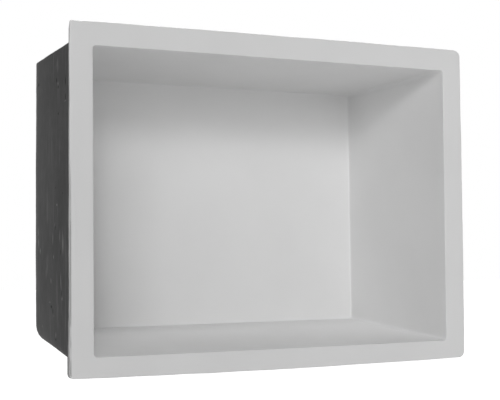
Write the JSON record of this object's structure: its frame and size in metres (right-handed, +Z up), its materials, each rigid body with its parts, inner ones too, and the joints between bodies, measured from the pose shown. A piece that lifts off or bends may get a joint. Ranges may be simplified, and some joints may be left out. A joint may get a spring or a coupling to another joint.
{
  "type": "recessed shower niche",
  "caption": "Recessed shower niche: a drafted rectangular pocket whose floor sheds water to the mouth, with a flat flange all round that beds on the wall.",
  "frame": {"origin": "centre of the flange, in the plane of its rear face, which is the face of the wall", "axes": "+Y into the wall, along the pocket; +X to the right as seen from the room; +Z up"},
  "size_m": [0.305, 0.127, 0.229],
  "materials": {
    "shell": "satin pale grey face on the flange and in the pocket, raw charcoal moulding outside"
  },
  "bodies": {
    "root": {"niche": "shell"}
  },
  "joints": []
}
